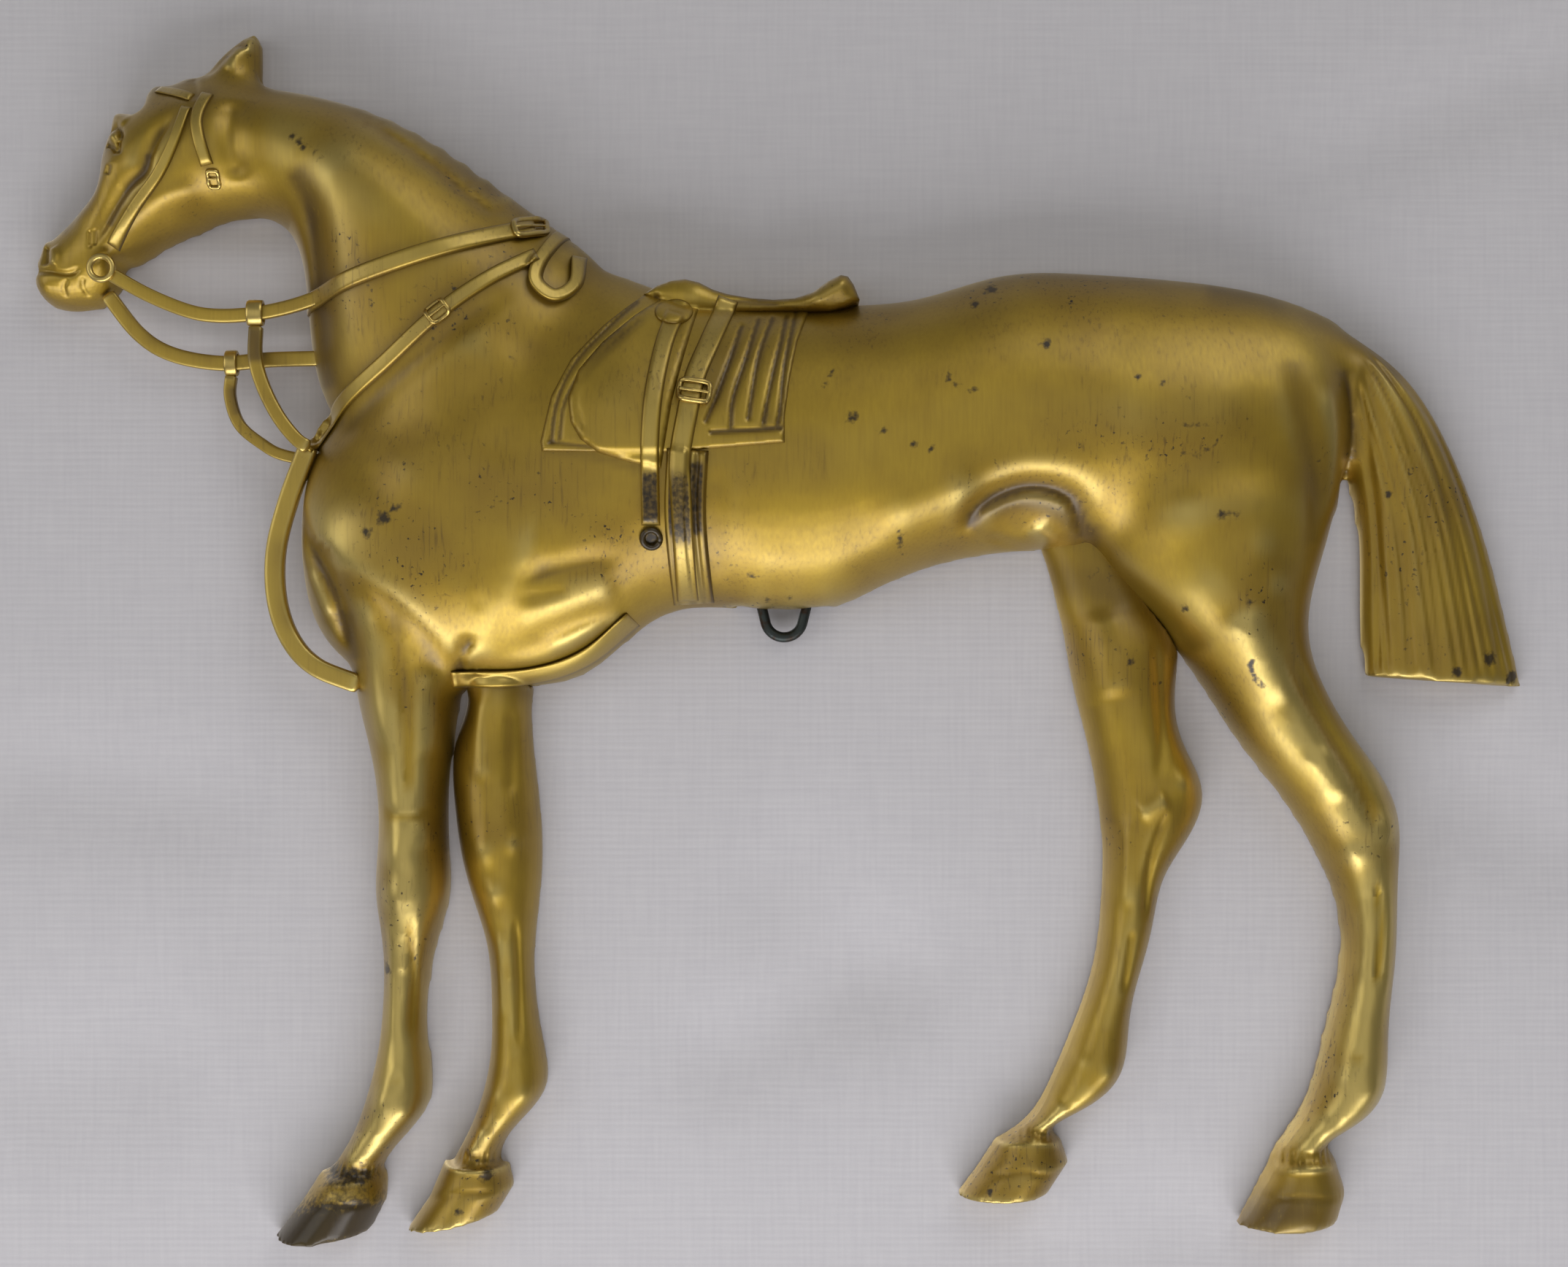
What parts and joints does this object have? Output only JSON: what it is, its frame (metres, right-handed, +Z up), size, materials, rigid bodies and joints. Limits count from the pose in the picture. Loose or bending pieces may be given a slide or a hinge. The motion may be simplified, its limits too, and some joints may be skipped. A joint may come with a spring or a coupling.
{
  "type": "half relief horse ornament",
  "caption": "Flat-backed brass relief of a tacked-up racehorse, hollow behind, with a swinging wire hanging loop under the belly.",
  "frame": {"origin": "middle of the relief's width and depth, at the lowest hoof's toe", "axes": "+X towards the tail, +Z up, the relief faces -Y and its flat back faces +Y"},
  "size_m": [0.2154, 0.0198, 0.175],
  "materials": {
    "gilt_brass_casting": "worn satin gilding with brown in the recesses and dark pits",
    "gilt_brass_tack": "satin gilding, rubbed brighter on the edges",
    "polished_brass_buckle": "bright polished brass",
    "raw_brass_lug": "dull unfinished brass with soft solder",
    "dark_steel_wire": "dark oxidised steel wire"
  },
  "bodies": {
    "relief": {"barrel": "gilt_brass_casting", "neck": "gilt_brass_casting", "head": "gilt_brass_casting", "near_foreleg": "gilt_brass_casting", "off_foreleg": "gilt_brass_casting", "near_hind_leg": "gilt_brass_casting", "off_hind_leg": "gilt_brass_casting", "tail": "gilt_brass_casting", "saddle_cloth": "gilt_brass_tack", "saddle_flap": "gilt_brass_tack", "saddle_seat": "gilt_brass_tack", "stirrup_skirt": "gilt_brass_tack", "stirrup_leather": "gilt_brass_tack", "girth": "gilt_brass_tack", "surcingle": "gilt_brass_tack", "near_rein": "gilt_brass_tack", "off_rein": "gilt_brass_tack", "near_rein_bight": "gilt_brass_tack", "neck_strap": "gilt_brass_tack", "belly_strap": "gilt_brass_tack", "chest_strap": "gilt_brass_tack", "near_fork": "gilt_brass_tack", "off_fork": "gilt_brass_tack", "near_rein_ring": "gilt_brass_tack", "off_rein_ring": "gilt_brass_tack", "cheekpiece": "gilt_brass_tack", "throatlash": "gilt_brass_tack", "browband": "gilt_brass_tack", "surcingle_buckle": "polished_brass_buckle", "neck_strap_buckle": "polished_brass_buckle", "throatlash_buckle": "polished_brass_buckle", "rein_buckle": "polished_brass_buckle", "bit_ring": "polished_brass_buckle", "stirrup_boss": "polished_brass_buckle", "loop_lug": "raw_brass_lug"},
    "loop": {"hanging_loop": "dark_steel_wire"}
  },
  "joints": [
    {"name": "loop_swing", "type": "hinge", "parent": "relief", "child": "loop", "pos_m": [0.0005, 0.00825, 0.0985], "axis": [1, 0, 0], "range_deg": [0, 180]}
  ]
}
